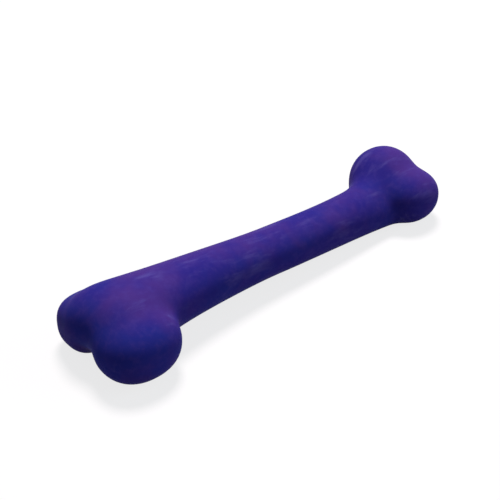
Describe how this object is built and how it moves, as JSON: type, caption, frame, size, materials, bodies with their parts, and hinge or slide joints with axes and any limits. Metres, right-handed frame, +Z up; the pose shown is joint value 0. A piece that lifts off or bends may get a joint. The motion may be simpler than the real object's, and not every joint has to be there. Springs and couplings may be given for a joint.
{
  "type": "dog chew bone",
  "caption": "Bone-shaped dog chew: a waisted shaft between two lobed knuckles, moulded as two plastic half shells closed round a tough core.",
  "frame": {"origin": "middle of the bone's box, on the surface that the bone lies on", "axes": "+X along the bone from its front knuckle to its rear one, +Y to its left, +Z up"},
  "size_m": [0.1998, 0.0578, 0.0327],
  "materials": {
    "shell_plastic": "satin violet-blue moulded plastic",
    "core_plastic": "dull grey-violet filling"
  },
  "bodies": {
    "root": {"upper_shell": "shell_plastic", "lower_shell": "shell_plastic", "core": "core_plastic"}
  },
  "joints": []
}
